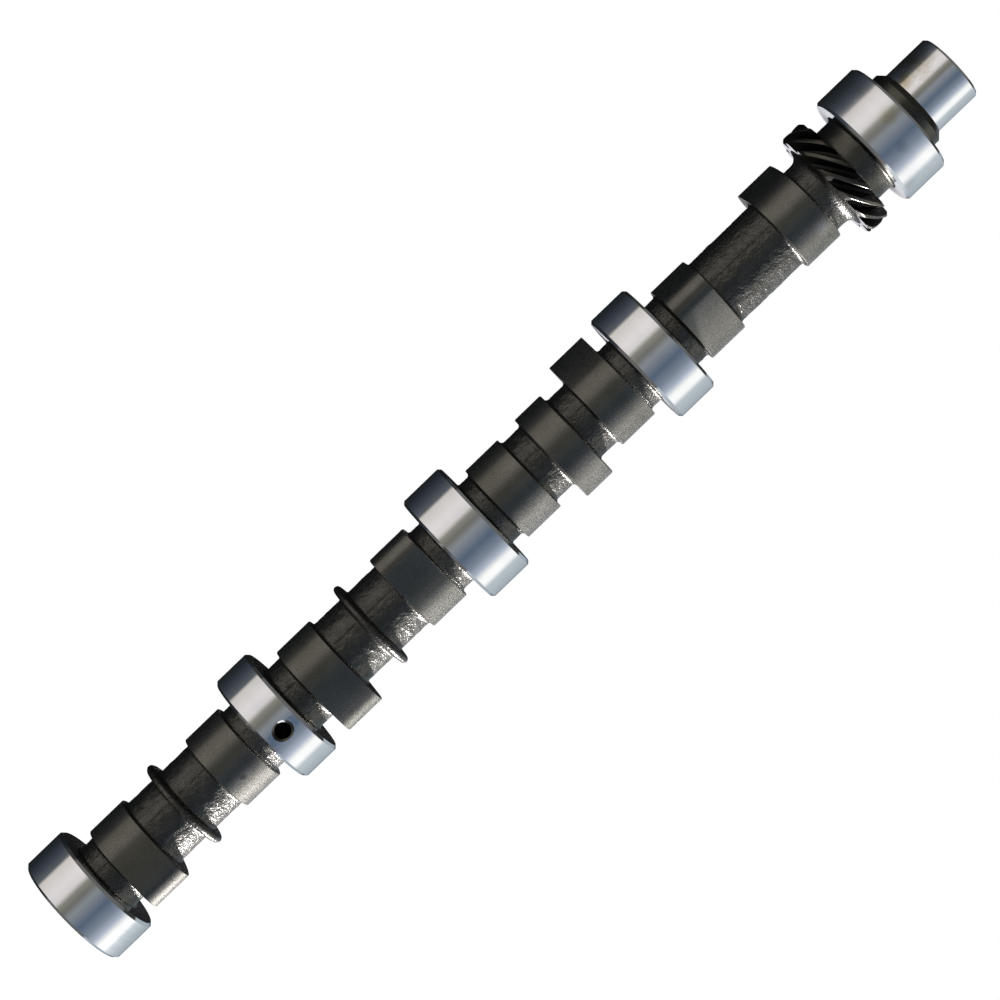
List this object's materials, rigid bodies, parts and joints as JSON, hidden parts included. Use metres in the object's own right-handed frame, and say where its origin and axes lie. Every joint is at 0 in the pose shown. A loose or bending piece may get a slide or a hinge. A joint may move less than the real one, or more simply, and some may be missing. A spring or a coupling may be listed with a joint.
{
  "type": "camshaft",
  "caption": "Cast camshaft of an overhead-valve engine, with ground journals, phased lobes, a pump eccentric, a helical drive gear and a keyed nose.",
  "frame": {"origin": "centre of the rear journal's end face, on which the shaft stands", "axes": "+Z along the shaft from the rear journal to the nose; -Y is the side of the oil hole that the picture shows, and +X the side of the fourth cylinder's lobes that bulge to the lower right there"},
  "size_m": [0.0464, 0.0464, 0.4267],
  "materials": {
    "iron": "as-cast necks, dark phosphated lobes and gear, bright ground journals and nose"
  },
  "bodies": {
    "root": {"camshaft": "iron"}
  },
  "joints": []
}
